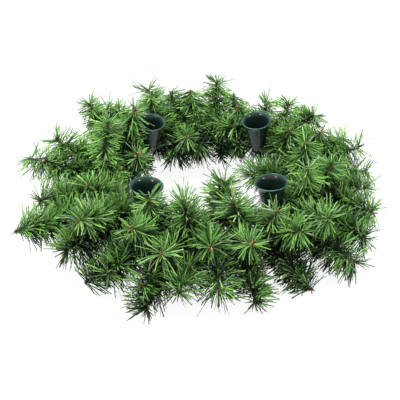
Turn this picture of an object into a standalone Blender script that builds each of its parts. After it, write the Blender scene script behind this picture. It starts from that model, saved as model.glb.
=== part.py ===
"""Candle ring: an artificial pine wreath that lies flat and holds four taper candles.

Two green wires, tied together, make the frame. Four moulded cups clip on to it. Each pine spray is
one wire, thick with cut needles, that hooks round the frame and ends in one or two tips.
Lengths are in metres unless a name says otherwise, +Z is up, and the ring stands on z = 0.
"""

import math

import bmesh
import bpy
import numpy as np
from mathutils import Matrix, Vector

MM = 0.001

# The frame: two concentric wires side by side, and the ties between them.
FRAME_RADIUS = 81 * MM
FRAME_HEIGHT = 36.5 * MM
WIRE_SPACING = 6 * MM
WIRE_RADIUS = 1.1 * MM
TIE_RADIUS = 0.8 * MM
TIE_COUNT = 8
WIRE_GAP = 0.3 * MM

# The candle cups: azimuth round the ring and lean towards its middle, in degrees.
CUPS = {
    "candle_cup_back_right": (48, 9),
    "candle_cup_back_left": (138, 7),
    "candle_cup_front_left": (228, 5),
    "candle_cup_front_right": (318, 7),
}
CUP_FOOT_RADIUS = 80 * MM
CUP_FOOT_HEIGHT = 39.6 * MM
CUP_HEIGHT = 32.5 * MM
CUP_MOUTH = 15 * MM
CUP_NECK = 12 * MM
CUP_BASE = 8.2 * MM
CUP_FLARE_HEIGHT = 6 * MM
CUP_WALL = 1.2 * MM
CUP_FLOOR = 1.6 * MM
CUP_STEPS = 20
CLIP_LENGTH = 7 * MM
CLIP_TOP = 40.2 * MM
CLIP_BOTTOM = 34.6 * MM
CLIP_JAW = 1.3 * MM

# The sprays. Each is a list of one or two tips, and each tip is its azimuth in degrees, its distance
# from the ring's axis and its height, in millimetres. The four groups lie between the cups, and a
# group's sprays leave the frame evenly spaced, in the order of the list.
SPRAYS = {
    "right": [
        [(319, 136, 62), (321, 163, 25)],
        [(331, 100, 84)],
        [(331, 160, 30)],
        [(344, 116, 78)],
        [(339, 159, 45), (346, 148, 14)],
        [(348, 150, 50)],
        [(358, 152, 52)],
        [(3, 93, 76), (357, 56, 22)],
        [(15, 46, 35), (8, 150, 18)],
        [(10, 152, 58)],
        [(15, 142, 62)],
        [(18, 120, 70)],
        [(27, 92, 69), (29, 150, 17)],
        [(30, 125, 74)],
        [(43, 116, 78)],
    ],
    "back": [
        [(57, 118, 68), (52, 150, 17)],
        [(70, 97, 66), (66, 74, 26)],
        [(76, 122, 68), (73, 152, 19)],
        [(78, 72, 18)],
        [(85, 128, 78)],
        [(67, 78, 54), (90, 150, 16)],
        [(99, 118, 74), (98, 72, 24)],
        [(108, 132, 66), (108, 152, 18)],
        [(110, 60, 52)],
        [(118, 138, 71), (117, 73, 24)],
        [(125, 100, 84), (126, 150, 16)],
        [(139, 124, 67)],
    ],
    "left": [
        [(140, 138, 66)],
        [(145, 86, 87), (151, 74, 24)],
        [(147, 145, 76), (154, 150, 17)],
        [(170, 68, 60)],
        [(170, 150, 65)],
        [(177, 172, 55), (176, 72, 24)],
        [(163, 100, 82)],
        [(197, 158, 45), (186, 150, 15)],
        [(202, 115, 60), (200, 70, 22)],
        [(206, 185, 38)],
        [(222, 140, 62)],
        [(218, 153, 28), (214, 72, 24)],
    ],
    "front": [
        [(230, 157, 15), (240, 72, 22)],
        [(239, 92, 74), (236, 147, 28)],
        [(242, 127, 70)],
        [(250, 148, 30), (257, 70, 20)],
        [(255, 137, 60), (252, 154, 12)],
        [(257, 85, 73), (262, 151, 34)],
        [(272, 123, 60)],
        [(274, 144, 32)],
        [(288, 50, 68)],
        [(286, 131, 66), (286, 146, 15)],
        [(286, 82, 70)],
        [(305, 104, 66)],
        [(308, 128, 58), (306, 152, 12)],
        [(313, 127, 34)],
    ],
}
GROUP_START = {"right": 318, "back": 48, "left": 138, "front": 228}
CUP_ARC = 7.5

# The sprays' own shape.
CORE_RADIUS = 1.2 * MM
HOOK_RADIUS = 0.9 * MM
STEM_STEPS = 3
STEM_BOW = 0.4
NEEDLE_LENGTH = 25 * MM
NEEDLE_RADIUS = 0.75 * MM
NEEDLE_SPACING = 5.6 * MM
NEEDLE_START = 0.3
NEEDLE_SWEEP = 108
FAN_COUNT = 3
FAN_SWEEP = 58
FAN_SHARE = 0.75
GOLDEN_ANGLE = 137.5
SWEEP_WANDER = 14
NODE_GAP = 0.25 * MM

# The spaces that foliage stays out of: the ring's hole, the candles' room over the cups and the
# tube round each cup's flared mouth.
HOLE_RADIUS = 40 * MM
CANDLE_RADIUS = 11.5 * MM
CANDLE_HEIGHT = 85 * MM
FLARE_ROOM = 2.8 * MM

# A spray's needles stay on its own side of each cup, at least this far from the candle's axis.
SIDE_ROOM = 10.5 * MM

# How a needle that would touch another node is moved: turn about the stem and change of sweep, in
# degrees, and share of its length, in the order tried.
MOVES = [
    (turn, sweep, share)
    for share in (1.0, 0.85, 0.7, 0.55)
    for sweep in (0, -15, 15, -30)
    for turn in (0, 12, -12, 24, -24, 40, -40)
]


def polar(radius, azimuth, height):
    """The point at that distance from the ring's axis, azimuth in degrees and height."""
    angle = math.radians(azimuth)
    return Vector((radius * math.cos(angle), radius * math.sin(angle), height))


def clear_scene():
    for thing in list(bpy.data.objects):
        bpy.data.objects.remove(thing)


def new_collection(name):
    made = bpy.data.collections.new(name)
    bpy.context.scene.collection.children.link(made)
    return made


def material(name, colour, roughness, metallic=0.0):
    made = bpy.data.materials.new(name)
    made.use_nodes = True
    shader = made.node_tree.nodes["Principled BSDF"]
    shader.inputs["Base Color"].default_value = (*colour, 1)
    shader.inputs["Roughness"].default_value = roughness
    shader.inputs["Metallic"].default_value = metallic
    return made


def mesh_object(name, shape, collection):
    """A bmesh made into an object of that collection."""
    mesh = bpy.data.meshes.new(name)
    shape.to_mesh(mesh)
    shape.free()
    made = bpy.data.objects.new(name, mesh)
    collection.objects.link(made)
    return made


def keep_evaluated(thing):
    """Replaces the object's mesh with what its modifiers make of it."""
    bpy.context.view_layer.update()
    graph = bpy.context.evaluated_depsgraph_get()
    mesh = bpy.data.meshes.new_from_object(thing.evaluated_get(graph))
    thing.modifiers.clear()
    thing.data = mesh
    thing.data.name = thing.name


def boolean(thing, operation, tools):
    """Joins all the tools to the object, or cuts them from it, and removes them."""
    holder = new_collection("tools")
    for tool in tools:
        for home in tool.users_collection:
            home.objects.unlink(tool)
        holder.objects.link(tool)
    step = thing.modifiers.new(operation.title(), "BOOLEAN")
    step.operation = operation
    step.operand_type = "COLLECTION"
    step.collection = holder
    step.solver = "EXACT"
    keep_evaluated(thing)
    for tool in tools:
        bpy.data.objects.remove(tool)
    bpy.data.collections.remove(holder)


def cylinder_between(name, start, end, radius, sides, collection):
    shape = bmesh.new()
    length = (end - start).length
    bmesh.ops.create_cone(
        shape, cap_ends=True, segments=sides, radius1=radius, radius2=radius, depth=length
    )
    made = mesh_object(name, shape, collection)
    turn = (end - start).to_track_quat("Z", "Y").to_matrix().to_4x4()
    made.data.transform(Matrix.Translation((start + end) / 2) @ turn)
    return made


def frame_wires(collection, finish):
    """The two wires, joined by the ties welded between them."""
    rings = []
    for side in (-1, 1):
        bpy.ops.mesh.primitive_torus_add(
            major_radius=FRAME_RADIUS + side * WIRE_SPACING / 2,
            minor_radius=WIRE_RADIUS,
            major_segments=44,
            minor_segments=6,
            location=(0, 0, FRAME_HEIGHT),
        )
        ring = bpy.context.object
        ring.data.transform(ring.matrix_world)
        ring.matrix_world = Matrix.Identity(4)
        for home in ring.users_collection:
            home.objects.unlink(ring)
        collection.objects.link(ring)
        rings.append(ring)
    frame, outer = rings
    frame.name = "frame_wires"
    first_cup = next(iter(CUPS.values()))[0]
    ties = []
    for k in range(TIE_COUNT):
        azimuth = first_cup + (k + 0.5) * 360 / TIE_COUNT
        ends = [
            polar(FRAME_RADIUS + side * WIRE_SPACING / 2, azimuth, FRAME_HEIGHT)
            for side in (-1, 1)
        ]
        ties.append(cylinder_between("tie", *ends, TIE_RADIUS, 6, collection))
    boolean(frame, "UNION", [outer, *ties])
    frame.data.materials.append(finish)
    return frame


def cup_profile():
    """The cup's section as (radius, height) from the outer lip down, and up again inside."""
    neck_height = CUP_HEIGHT - CUP_FLARE_HEIGHT
    lip = CUP_WALL / 2
    outside = [
        (CUP_MOUTH - lip, CUP_HEIGHT),
        (CUP_MOUTH, CUP_HEIGHT - lip),
        (CUP_MOUTH - lip, CUP_HEIGHT - 2 * lip),
        ((CUP_MOUTH + CUP_NECK) / 2 - lip / 2, CUP_HEIGHT - 0.42 * CUP_FLARE_HEIGHT),
        (CUP_NECK, neck_height),
        (CUP_BASE, 1.5 * MM),
        (CUP_BASE - 1.5 * MM, 0),
        (0, 0),
    ]
    inside = [
        (0, CUP_FLOOR),
        (CUP_BASE - CUP_WALL, CUP_FLOOR),
        (CUP_NECK - CUP_WALL, neck_height),
        ((CUP_MOUTH + CUP_NECK) / 2 - 1.6 * CUP_WALL, CUP_HEIGHT - 0.42 * CUP_FLARE_HEIGHT),
        (CUP_MOUTH - 2 * CUP_WALL, CUP_HEIGHT - 2 * lip),
        (CUP_MOUTH - 1.5 * CUP_WALL, CUP_HEIGHT),
    ]
    return outside + inside


def cup_placement(azimuth, lean):
    """Stands a cup, made round +Z with its outer side at +X, on the frame and leans it inwards."""
    place = Matrix.Translation(polar(CUP_FOOT_RADIUS, azimuth, CUP_FOOT_HEIGHT))
    turn = Matrix.Rotation(math.radians(azimuth), 4, "Z")
    return place @ turn @ Matrix.Rotation(math.radians(-lean), 4, "Y")


def cup_clip(azimuth, collection):
    """The block under a cup, with a groove over each wire."""
    shape = bmesh.new()
    bmesh.ops.create_cube(shape, size=1)
    clip = mesh_object("clip", shape, collection)
    width = WIRE_SPACING + 2 * (WIRE_RADIUS + WIRE_GAP + CLIP_JAW)
    size = Matrix.Diagonal((width, CLIP_LENGTH, CLIP_TOP - CLIP_BOTTOM, 1))
    turn = Matrix.Rotation(math.radians(azimuth), 4, "Z")
    middle = polar(FRAME_RADIUS, azimuth, (CLIP_TOP + CLIP_BOTTOM) / 2)
    clip.data.transform(Matrix.Translation(middle) @ turn @ size)
    along = turn @ Vector((0, CLIP_LENGTH, 0))
    groove = WIRE_RADIUS + WIRE_GAP
    grooves = []
    for side in (-1, 1):
        centre = polar(FRAME_RADIUS + side * WIRE_SPACING / 2, azimuth, FRAME_HEIGHT)
        grooves.append(
            cylinder_between("groove", centre - along, centre + along, groove, 12, collection)
        )
        slot_shape = bmesh.new()
        bmesh.ops.create_cube(slot_shape, size=1)
        slot = mesh_object("slot", slot_shape, collection)
        depth = FRAME_HEIGHT - CLIP_BOTTOM + groove
        low = centre - Vector((0, 0, depth / 2))
        slot_size = Matrix.Diagonal((1.86 * groove, 2 * CLIP_LENGTH, depth, 1))
        slot.data.transform(Matrix.Translation(low) @ turn @ slot_size)
        grooves.append(slot)
    boolean(clip, "DIFFERENCE", grooves)
    return clip


def candle_cup(name, azimuth, lean, collection, finish):
    """A flared, tapering cup on its clip, in one moulding."""
    shape = bmesh.new()
    points = [shape.verts.new((radius, 0, height)) for radius, height in cup_profile()]
    for first, second in zip(points, points[1:] + points[:1]):
        if first.co.x > 0 or second.co.x > 0:
            shape.edges.new((first, second))
    cup = mesh_object(name, shape, collection)
    turned = cup.modifiers.new("Screw", "SCREW")
    turned.axis = "Z"
    turned.steps = CUP_STEPS
    turned.render_steps = CUP_STEPS
    turned.use_merge_vertices = True
    turned.merge_threshold = 0.00001
    keep_evaluated(cup)
    cup.data.transform(cup_placement(azimuth, lean))
    boolean(cup, "UNION", [cup_clip(azimuth, collection)])
    cup.data.shade_smooth()
    cup.data.set_sharp_from_angle(angle=math.radians(40))
    cup.data.materials.append(finish)
    return cup


def hook_corner(root_azimuth, side, level):
    """A corner of the hook round both wires. side is 1 outside and -1 inside the ring, and level is
    1 over the wires, 0 beside them and -1 under them."""
    reach = WIRE_RADIUS + WIRE_GAP + HOOK_RADIUS + 0.4 * MM
    out = WIRE_SPACING / 2 + (reach if level == 0 else 0.5 * reach)
    up = level * 0.87 * reach
    return polar(FRAME_RADIUS + side * out, root_azimuth, FRAME_HEIGHT + up)


def hook_corners(root_azimuth, tips):
    """The hook's points from the first tip's end to the other end. It goes round the side of the
    wires that the first tip points away from."""
    away = -1 if tips[0][1] * MM > FRAME_RADIUS - 4 * MM else 1
    level = 1 if tips[0][2] * MM > FRAME_HEIGHT or len(tips) == 2 else -1
    walk = [(-away, level), (away, level), (away, 0), (away, -level), (-away, -level)]
    if len(tips) == 2 and (tips[1][1] * MM > FRAME_RADIUS) == (away > 0):
        walk = walk[:3]
    return [hook_corner(root_azimuth, side, height) for side, height in walk]


def stem_points(root, leaving, tip):
    """The stem's line from the hook to its tip: it leaves along the hook and bends to the tip."""
    length = (tip - root).length
    direction = (leaving.normalized() + (tip - root).normalized()).normalized()
    knee = root + direction * (STEM_BOW * length)
    line = []
    for k in range(1, STEM_STEPS + 1):
        t = k / STEM_STEPS
        line.append(root * (1 - t) ** 2 + knee * (2 * t * (1 - t)) + tip * t**2)
    return line


def spray_lines(root_azimuth, tips):
    """The stem of each tip, root first, and the whole wire from one end to the other."""
    hook = hook_corners(root_azimuth, tips)
    ends = [polar(reach * MM, azimuth, height * MM) for azimuth, reach, height in tips]
    first = [hook[0]] + stem_points(hook[0], hook[0] - hook[1], ends[0])
    if len(ends) == 1:
        return [first], first[::-1] + hook[1:]
    second = [hook[-1]] + stem_points(hook[-1], hook[-1] - hook[-2], ends[1])
    return [first, second], first[::-1] + hook[1:] + second[1:]


def all_sprays():
    """Name, root azimuth and tips of each spray, in the order of the groups."""
    found = []
    for group, members in SPRAYS.items():
        step = (90 - 2 * CUP_ARC) / (len(members) - 1)
        for k, tips in enumerate(members):
            root_azimuth = GROUP_START[group] + CUP_ARC + k * step
            found.append((f"pine_spray_{group}_{k + 1:02d}", root_azimuth, tips))
    return found


class Room:
    """The straight round stretches of every node, to tell whether a needle would touch another."""

    def __init__(self):
        self.starts, self.ends, self.radii, self.owners = [], [], [], []

    def add(self, start, end, radius, owner):
        self.starts.append(start)
        self.ends.append(end)
        self.radii.append(radius)
        self.owners.append(owner)

    def add_line(self, line, radius, owner):
        for start, end in zip(line, line[1:]):
            self.add(start, end, radius, owner)

    def is_free(self, start, end, radius, owner):
        others = np.array([name != owner for name in self.owners])
        a = np.array(self.starts)[others]
        b = np.array(self.ends)[others]
        reach = np.array(self.radii)[others] + radius + NODE_GAP
        return bool((segment_gaps(np.array(start), np.array(end), a, b) > reach).all())


def segment_gaps(p, q, a, b):
    """The least distance from the segment pq to each segment ab."""
    d1, d2, r = q - p, b - a, p - a
    aa, ee = d1 @ d1, (d2 * d2).sum(1)
    f, c, bb = (d2 * r).sum(1), r @ d1, d2 @ d1
    spread = np.maximum(aa * ee - bb * bb, 1e-18)
    s = np.clip((bb * f - c * ee) / spread, 0, 1)
    t = np.clip((bb * s + f) / ee, 0, 1)
    s = np.clip((bb * t - c) / aa, 0, 1)
    nearest = (p + s[:, None] * d1) - (a + t[:, None] * d2)
    return np.sqrt((nearest * nearest).sum(1))


def fixed_room(sprays):
    """What the needles grow round: wires, cups, the candles' room and every spray's own wire."""
    room = Room()
    for side in (-1, 1):
        radius = FRAME_RADIUS + side * WIRE_SPACING / 2
        ring = [polar(radius, azimuth, FRAME_HEIGHT) for azimuth in range(0, 361, 5)]
        room.add_line(ring, WIRE_RADIUS, "frame_wires")
    for name, (azimuth, lean) in CUPS.items():
        place = cup_placement(azimuth, lean)
        neck_height = CUP_HEIGHT - CUP_FLARE_HEIGHT
        for lower, upper in ((0.25, 0.5), (0.5, 0.75), (0.75, 1)):
            widest = CUP_BASE + (CUP_NECK - CUP_BASE) * upper
            ends = [place @ Vector((0, 0, share * neck_height)) for share in (lower, upper)]
            room.add(*ends, widest + 0.1 * MM, name)
        rim = [
            place @ polar(CUP_MOUTH - FLARE_ROOM, k * 30, CUP_HEIGHT - FLARE_ROOM)
            for k in range(13)
        ]
        room.add_line(rim, FLARE_ROOM + 0.3 * MM, name)
        candle = [place @ Vector((0, 0, level)) for level in (CUP_HEIGHT, CANDLE_HEIGHT)]
        room.add(*candle, CANDLE_RADIUS, name)
    for name, root_azimuth, tips in sprays:
        room.add_line(spray_lines(root_azimuth, tips)[1], CORE_RADIUS, name)
    return room


def needle_plan(stem, seed):
    """Where each needle of a tip stands on its stem and how it leaves it: (share of the stem, turn
    about it and sweep from its direction, in degrees, share of the full needle's length). The last
    few are shorter and fan out from the end."""
    length = sum((b - a).length for a, b in zip(stem, stem[1:]))
    count = int(length * (1 - NEEDLE_START) / NEEDLE_SPACING)
    wander = np.random.default_rng(seed)
    plan = []
    for k in range(count):
        share = NEEDLE_START + (1 - NEEDLE_START) * (k + 0.5) / (count + 0.5)
        sweep = NEEDLE_SWEEP + wander.uniform(-SWEEP_WANDER, SWEEP_WANDER)
        plan.append((share, k * GOLDEN_ANGLE + seed * 30, sweep, 1))
    for k in range(FAN_COUNT):
        turn = (k * 360 + seed * 50) / FAN_COUNT
        plan.append((0.985, turn, FAN_SWEEP + wander.uniform(0, SWEEP_WANDER), FAN_SHARE))
    return plan


def along(line, share):
    """The point at that share of the line's length, and the line's direction there."""
    steps = [(b - a).length for a, b in zip(line, line[1:])]
    left = share * sum(steps)
    for start, end, step in zip(line, line[1:], steps):
        if left <= step:
            break
        left -= step
    direction = (end - start).normalized()
    return start + direction * min(left, step), direction


def needle_end(root, direction, turn, sweep, length):
    """The free end of a needle. One that would pass below the table is bent to touch it."""
    side = direction.orthogonal().normalized()
    side.rotate(Matrix.Rotation(math.radians(turn), 3, direction))
    heading = direction * math.cos(math.radians(sweep)) + side * math.sin(math.radians(sweep))
    end = root + heading * length
    end.z = max(end.z, 0)
    return end


def in_open_space(root, end):
    """Whether the needle keeps out of the ring's hole."""
    reach = min((root.lerp(end, t / 4)).xy.length for t in range(5))
    return reach > HOLE_RADIUS


def cup_sides(line):
    """For each cup, the plane beside it that its spray's needles stay behind, as (a point of the
    candle's axis, direction from the axis to the plane, distance). The direction is the one in
    which the spray's wire keeps furthest from the axis."""
    sides = []
    for azimuth, lean in CUPS.values():
        place = cup_placement(azimuth, lean)
        turned = place.to_3x3()
        directions = [turned @ polar(1, turn, 0) for turn in range(0, 360, 5)]
        wire_room = [
            min((point - place.translation).dot(direction) for point in line)
            for direction in directions
        ]
        best = max(range(len(directions)), key=lambda k: wire_room[k])
        sides.append((place.translation, directions[best], min(SIDE_ROOM, wire_room[best])))
    return sides


def keeps_its_side(end, sides):
    return all((end - point).dot(direction) >= room for point, direction, room in sides)


def placed_needles(room, name, stem, sides, seed):
    """The (root, end) of each needle of a tip that finds a place clear of every other node."""
    needles = []
    for share, turn, sweep, size in needle_plan(stem, seed):
        root, direction = along(stem, share)
        for more_turn, more_sweep, part in MOVES:
            length = NEEDLE_LENGTH * size * part
            end = needle_end(root, direction, turn + more_turn, sweep + more_sweep, length)
            if not in_open_space(root, end) or not keeps_its_side(end, sides):
                continue
            if room.is_free(root, end, NEEDLE_RADIUS, name):
                room.add(root, end, NEEDLE_RADIUS, name)
                needles.append((root, end))
                break
    return needles


def needle_solid(root, end, collection):
    """A three-sided needle that narrows to a point at its free end."""
    shape = bmesh.new()
    bmesh.ops.create_cone(
        shape, cap_ends=True, segments=3, radius1=NEEDLE_RADIUS, radius2=0, depth=1
    )
    bmesh.ops.remove_doubles(shape, verts=shape.verts, dist=1e-6)
    made = mesh_object("needle", shape, collection)
    reach = end - root
    turn = reach.to_track_quat("Z", "Y").to_matrix().to_4x4()
    size = Matrix.Diagonal((1, 1, reach.length, 1))
    made.data.transform(Matrix.Translation((root + end) / 2) @ turn @ size)
    return made


def core_solid(name, line, hook_count, collection):
    """The spray's wire as one tube: slimmer round the hook and at the ends."""
    curve = bpy.data.curves.new(name, "CURVE")
    curve.dimensions = "3D"
    curve.bevel_depth = CORE_RADIUS
    curve.bevel_resolution = 0
    curve.use_fill_caps = True
    spline = curve.splines.new("POLY")
    spline.points.add(len(line) - 1)
    for k, (point, place) in enumerate(zip(spline.points, line)):
        point.co = (*place, 1)
        in_hook = STEM_STEPS <= k < STEM_STEPS + hook_count
        point.radius = HOOK_RADIUS / CORE_RADIUS if in_hook or k == 0 else 1
    guide = bpy.data.objects.new("guide", curve)
    collection.objects.link(guide)
    bpy.context.view_layer.update()
    graph = bpy.context.evaluated_depsgraph_get()
    mesh = bpy.data.meshes.new_from_object(guide.evaluated_get(graph))
    shape = bmesh.new()
    shape.from_mesh(mesh)
    bmesh.ops.remove_doubles(shape, verts=shape.verts, dist=1e-6)
    bpy.data.objects.remove(guide)
    bpy.data.meshes.remove(mesh)
    return mesh_object(name, shape, collection)


def pine_spray(name, root_azimuth, tips, room, collection, finish):
    stems, line = spray_lines(root_azimuth, tips)
    sides = cup_sides(line)
    needles = []
    for k, stem in enumerate(stems):
        needles += placed_needles(room, name, stem, sides, seed=int(root_azimuth) + 7 * k)
    spray = core_solid(name, line, len(hook_corners(root_azimuth, tips)), collection)
    boolean(spray, "UNION", [needle_solid(*needle, collection) for needle in needles])
    spray.data.materials.clear()
    spray.data.materials.append(finish)
    return spray


def stand_on_origin(things):
    """Moves everything so that the middle of the whole object's underside is the origin."""
    bpy.context.view_layer.update()
    points = np.array([point.co for thing in things for point in thing.data.vertices])
    low, high = points.min(0), points.max(0)
    for thing in things:
        thing.location = (-(low[0] + high[0]) / 2, -(low[1] + high[1]) / 2, -low[2])


def main():
    clear_scene()
    ring = new_collection("candle_ring")
    green_wire = material("green_wire", (0.03, 0.09, 0.05), 0.35, 0.4)
    cup_plastic = material("cup_plastic", (0.01, 0.06, 0.04), 0.22)
    pine_green = material("pine_green", (0.07, 0.22, 0.03), 0.5)
    frame_wires(ring, green_wire)
    for name, (azimuth, lean) in CUPS.items():
        candle_cup(name, azimuth, lean, ring, cup_plastic)
    sprays = all_sprays()
    room = fixed_room(sprays)
    for name, root_azimuth, tips in sprays:
        pine_spray(name, root_azimuth, tips, room, ring, pine_green)
    stand_on_origin(ring.objects)


main()
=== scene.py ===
"""The looks of the candle ring: every pine spray with its full coat of cut needles, the twisted
wires, the frame and the moulded candle cups, on a pale studio floor.

Lengths are in metres and angles in degrees unless a comment says otherwise. The values that place
the sprays and the cups are the model's own, and the ring's axis is read from the frame.
"""

import math

import bmesh
import bpy
import numpy as np
from mathutils import Matrix, Vector


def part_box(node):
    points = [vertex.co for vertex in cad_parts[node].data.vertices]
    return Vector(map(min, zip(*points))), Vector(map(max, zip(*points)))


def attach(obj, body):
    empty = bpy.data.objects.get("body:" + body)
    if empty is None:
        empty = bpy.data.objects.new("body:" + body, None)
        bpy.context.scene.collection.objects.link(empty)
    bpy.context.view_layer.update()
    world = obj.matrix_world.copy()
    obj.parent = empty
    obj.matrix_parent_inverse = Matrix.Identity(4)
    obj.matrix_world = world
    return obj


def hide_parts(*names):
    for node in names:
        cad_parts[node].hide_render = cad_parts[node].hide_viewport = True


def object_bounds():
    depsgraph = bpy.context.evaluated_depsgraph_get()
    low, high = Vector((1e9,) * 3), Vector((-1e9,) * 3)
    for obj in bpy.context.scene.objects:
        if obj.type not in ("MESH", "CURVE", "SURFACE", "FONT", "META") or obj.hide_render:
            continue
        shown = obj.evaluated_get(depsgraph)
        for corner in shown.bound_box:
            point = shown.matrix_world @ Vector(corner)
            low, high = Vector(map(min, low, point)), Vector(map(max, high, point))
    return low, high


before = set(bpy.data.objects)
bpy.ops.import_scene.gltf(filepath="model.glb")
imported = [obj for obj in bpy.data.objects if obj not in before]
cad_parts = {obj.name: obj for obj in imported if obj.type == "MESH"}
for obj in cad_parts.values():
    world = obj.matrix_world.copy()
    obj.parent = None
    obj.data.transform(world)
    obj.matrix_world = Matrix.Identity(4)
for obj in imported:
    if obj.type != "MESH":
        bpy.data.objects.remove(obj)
CAD_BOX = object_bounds()

MM = 0.001

# The model's frame wires and cups. Each cup has its azimuth and how far it leans outward.
FRAME_RADIUS = 81 * MM
FRAME_HEIGHT = 36.5 * MM
WIRE_SPACING = 6 * MM
WIRE_RADIUS = 1.1 * MM
TIE_RADIUS = 0.8 * MM
TIE_COUNT = 8
WIRE_GAP = 0.3 * MM
CUPS = {
    "candle_cup_back_right": (48, 9),
    "candle_cup_back_left": (138, 7),
    "candle_cup_front_left": (228, 5),
    "candle_cup_front_right": (318, 7),
}
CUP_FOOT_RADIUS = 80 * MM
CUP_FOOT_HEIGHT = 39.6 * MM
CUP_HEIGHT = 32.5 * MM
CUP_MOUTH = 15 * MM
CUP_NECK = 12 * MM
CUP_BASE = 8.2 * MM
CUP_FLARE_HEIGHT = 6 * MM
CUP_WALL = 1.2 * MM
CUP_FLOOR = 1.6 * MM
CLIP_LENGTH = 7 * MM
CLIP_TOP = 40.2 * MM
CLIP_BOTTOM = 34.6 * MM
CLIP_JAW = 1.3 * MM

# The finer shape of the cups and clips: the flare's points as shares of its width and height, how far
# under the flare the neck ends outside and inside, and the roundings at the foot, the floor and the
# clip's edges.
CUP_STEPS = 72
CUP_NECK_HEIGHT = CUP_HEIGHT - CUP_FLARE_HEIGHT
CUP_FLARE = [(0.72, 0.74), (0.42, 0.51), (0.18, 0.28), (0.05, 0.1)]
CUP_FLARE_LIFT = 0.25 * MM
CUP_NECK_ENDS = (0.5 * MM, 0.3 * MM)
CUP_FOOT_FILLET = 1.55 * MM
CUP_FOOT_LIFT = 0.05 * MM
CUP_FLOOR_FILLET = 1.2 * MM
CLIP_ROUNDING = 0.4 * MM
CLIP_SLOT_SHARE = 1.86
SHARP_ANGLE = 40
BAR_SIDES = 32

# Where a cup's lip is painted paler as a highlight, and its floor inside counts as matt.
LIP_HIGHLIGHT_DEPTH = 0.9 * MM
LIP_HIGHLIGHT_WIDTH = 1.3 * MM
MATT_HEIGHTS = (0.9 * MM, CUP_FLOOR + 1.3 * MM)
MATT_REACH = CUP_BASE - 1 * MM

# What needles keep clear of at a cup, as heights over its foot and radii: the cup with a little room
# under it, and its candle. A needle is tested at a few places along it.
CUP_ROOM = [
    (-1.5 * MM, CUP_BASE),
    (0, CUP_BASE),
    (CUP_NECK_HEIGHT, CUP_NECK),
    (CUP_HEIGHT, CUP_MOUTH),
    (CUP_HEIGHT + 1 * MM, 9 * MM),
    (CUP_HEIGHT + 40 * MM, 9 * MM),
]
CUP_CLEARANCE = 0.6 * MM
TEST_SHARES = np.linspace(0.1, 1, 8)

# The model's sprays: azimuth, distance from the axis in millimetres and height in millimetres of
# each tip, in the groups between the cups.
SPRAYS = {
    "right": [
        [(319, 136, 62), (321, 163, 25)],
        [(331, 100, 84)],
        [(331, 160, 30)],
        [(344, 116, 78)],
        [(339, 159, 45), (346, 148, 14)],
        [(348, 150, 50)],
        [(358, 152, 52)],
        [(3, 93, 76), (357, 56, 22)],
        [(15, 46, 35), (8, 150, 18)],
        [(10, 152, 58)],
        [(15, 142, 62)],
        [(18, 120, 70)],
        [(27, 92, 69), (29, 150, 17)],
        [(30, 125, 74)],
        [(43, 116, 78)],
    ],
    "back": [
        [(57, 118, 68), (52, 150, 17)],
        [(70, 97, 66), (66, 74, 26)],
        [(76, 122, 68), (73, 152, 19)],
        [(78, 72, 18)],
        [(85, 128, 78)],
        [(67, 78, 54), (90, 150, 16)],
        [(99, 118, 74), (98, 72, 24)],
        [(108, 132, 66), (108, 152, 18)],
        [(110, 60, 52)],
        [(118, 138, 71), (117, 73, 24)],
        [(125, 100, 84), (126, 150, 16)],
        [(139, 124, 67)],
    ],
    "left": [
        [(140, 138, 66)],
        [(145, 86, 87), (151, 74, 24)],
        [(147, 145, 76), (154, 150, 17)],
        [(170, 68, 60)],
        [(170, 150, 65)],
        [(177, 172, 55), (176, 72, 24)],
        [(163, 100, 82)],
        [(197, 158, 45), (186, 150, 15)],
        [(202, 115, 60), (200, 70, 22)],
        [(206, 185, 38)],
        [(222, 140, 62)],
        [(218, 153, 28), (214, 72, 24)],
    ],
    "front": [
        [(230, 157, 15), (240, 72, 22)],
        [(239, 92, 74), (236, 147, 28)],
        [(242, 127, 70)],
        [(250, 148, 30), (257, 70, 20)],
        [(255, 137, 60), (252, 154, 12)],
        [(257, 85, 73), (262, 151, 34)],
        [(272, 123, 60)],
        [(274, 144, 32)],
        [(288, 50, 68)],
        [(286, 131, 66), (286, 146, 15)],
        [(286, 82, 70)],
        [(305, 104, 66)],
        [(308, 128, 58), (306, 152, 12)],
        [(313, 127, 34)],
    ],
}

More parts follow.
